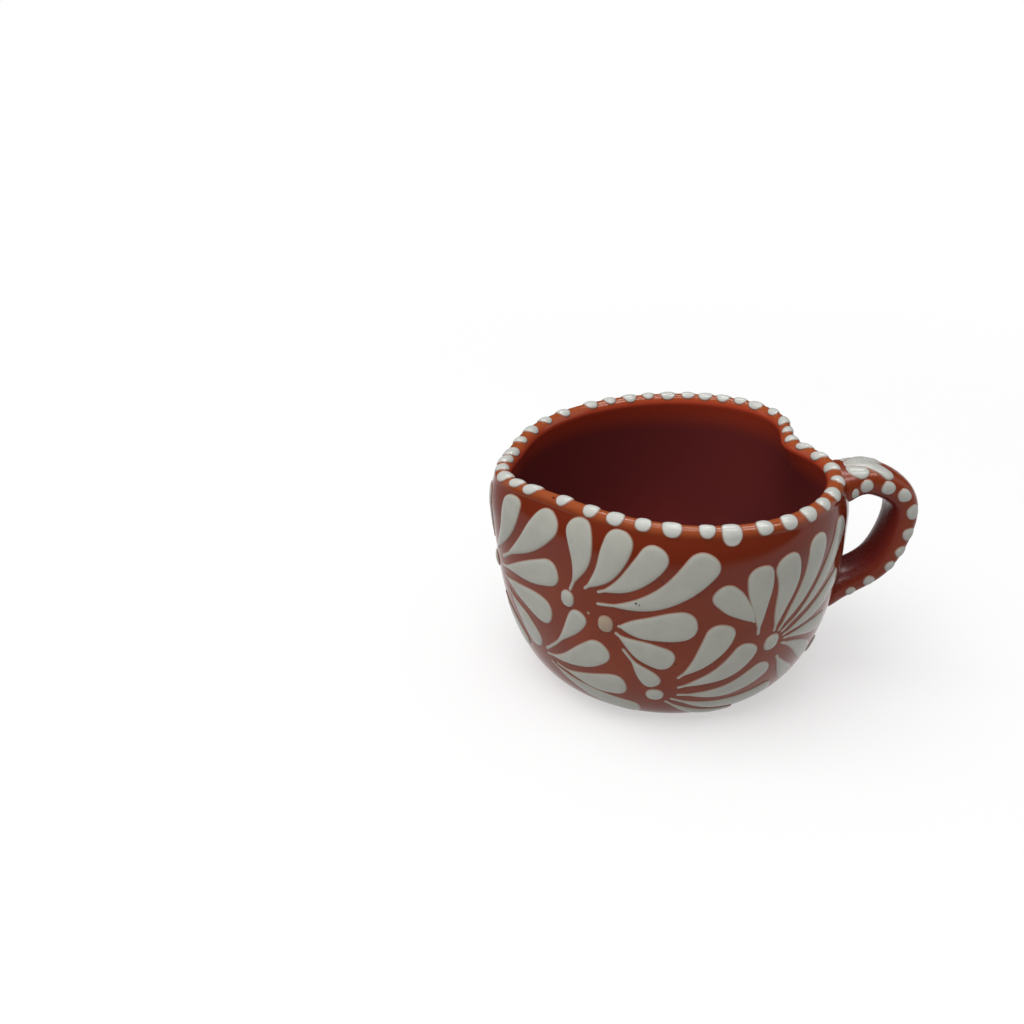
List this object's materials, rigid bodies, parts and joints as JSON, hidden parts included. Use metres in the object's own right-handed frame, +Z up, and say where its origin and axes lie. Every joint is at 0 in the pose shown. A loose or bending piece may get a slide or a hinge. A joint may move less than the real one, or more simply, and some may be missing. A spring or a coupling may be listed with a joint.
{
  "type": "coffee mug",
  "caption": "Heart-shaped coffee mug of glazed red clay with a strap handle, and raised white slip beads on the lip and feather sprays on the wall.",
  "frame": {"origin": "centre of the flat foot, on the surface that the mug stands on", "axes": "+Z up, +X towards the cleft of the heart, the tip of the heart at -X"},
  "size_m": [0.1236, 0.1085, 0.0706],
  "materials": {
    "red_glaze": "clear gloss glaze over terracotta red clay, deeper maroon inside",
    "white_slip": "raised white slip under the same clear gloss glaze"
  },
  "bodies": {
    "root": {"cup_body": "red_glaze", "handle": "red_glaze", "rim_bead_01": "white_slip", "rim_bead_02": "white_slip", "rim_bead_03": "white_slip", "rim_bead_04": "white_slip", "rim_bead_05": "white_slip", "rim_bead_06": "white_slip", "rim_bead_07": "white_slip", "rim_bead_08": "white_slip", "rim_bead_09": "white_slip", "rim_bead_10": "white_slip", "rim_bead_11": "white_slip", "rim_bead_12": "white_slip", "rim_bead_13": "white_slip", "rim_bead_14": "white_slip", "rim_bead_15": "white_slip", "rim_bead_16": "white_slip", "rim_bead_17": "white_slip", "rim_bead_18": "white_slip", "rim_bead_19": "white_slip", "rim_bead_20": "white_slip", "rim_bead_21": "white_slip", "rim_bead_22": "white_slip", "rim_bead_23": "white_slip", "rim_bead_24": "white_slip", "rim_bead_25": "white_slip", "rim_bead_26": "white_slip", "rim_bead_27": "white_slip", "rim_bead_28": "white_slip", "rim_bead_29": "white_slip", "rim_bead_30": "white_slip", "rim_bead_31": "white_slip", "rim_bead_32": "white_slip", "rim_bead_33": "white_slip", "rim_bead_34": "white_slip", "rim_bead_35": "white_slip", "rim_bead_36": "white_slip", "rim_bead_37": "white_slip", "rim_bead_38": "white_slip", "rim_bead_39": "white_slip", "rim_bead_40": "white_slip", "spray_tip": "white_slip", "spray_front_left_low": "white_slip", "spray_front_left": "white_slip", "spray_front": "white_slip", "spray_front_low": "white_slip", "spray_front_right": "white_slip", "spray_under_handle": "white_slip", "spray_cleft": "white_slip", "spray_back_right_low": "white_slip", "spray_back_right": "white_slip", "spray_back_low": "white_slip", "spray_back_left": "white_slip", "spray_back_left_low": "white_slip", "handle_spray": "white_slip"}
  },
  "joints": []
}
